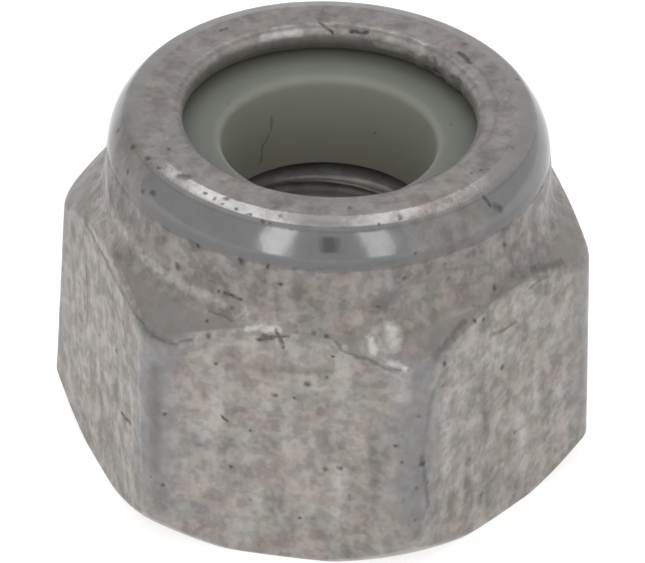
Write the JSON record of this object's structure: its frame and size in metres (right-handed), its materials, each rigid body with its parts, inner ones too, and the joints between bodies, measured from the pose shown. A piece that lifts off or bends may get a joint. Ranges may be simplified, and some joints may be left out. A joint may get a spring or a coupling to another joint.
{
  "type": "nylon insert lock nut",
  "caption": "Hexagon lock nut in stainless steel with a rolled collar that holds a pale nylon locking ring above its threaded bore.",
  "frame": {"origin": "centre of the bearing face, on the thread's axis", "axes": "+Z along the thread from the bearing face to the insert ring, +X square to one of the six flats, +Y through a corner"},
  "size_m": [0.0054, 0.0064, 0.0044],
  "materials": {
    "stainless_steel": "tumbled and slightly stained, burnished on the rolled shoulder",
    "natural_nylon": "smooth, slightly translucent, undyed"
  },
  "bodies": {
    "root": {"nut_body": "stainless_steel", "nylon_ring": "natural_nylon"}
  },
  "joints": []
}
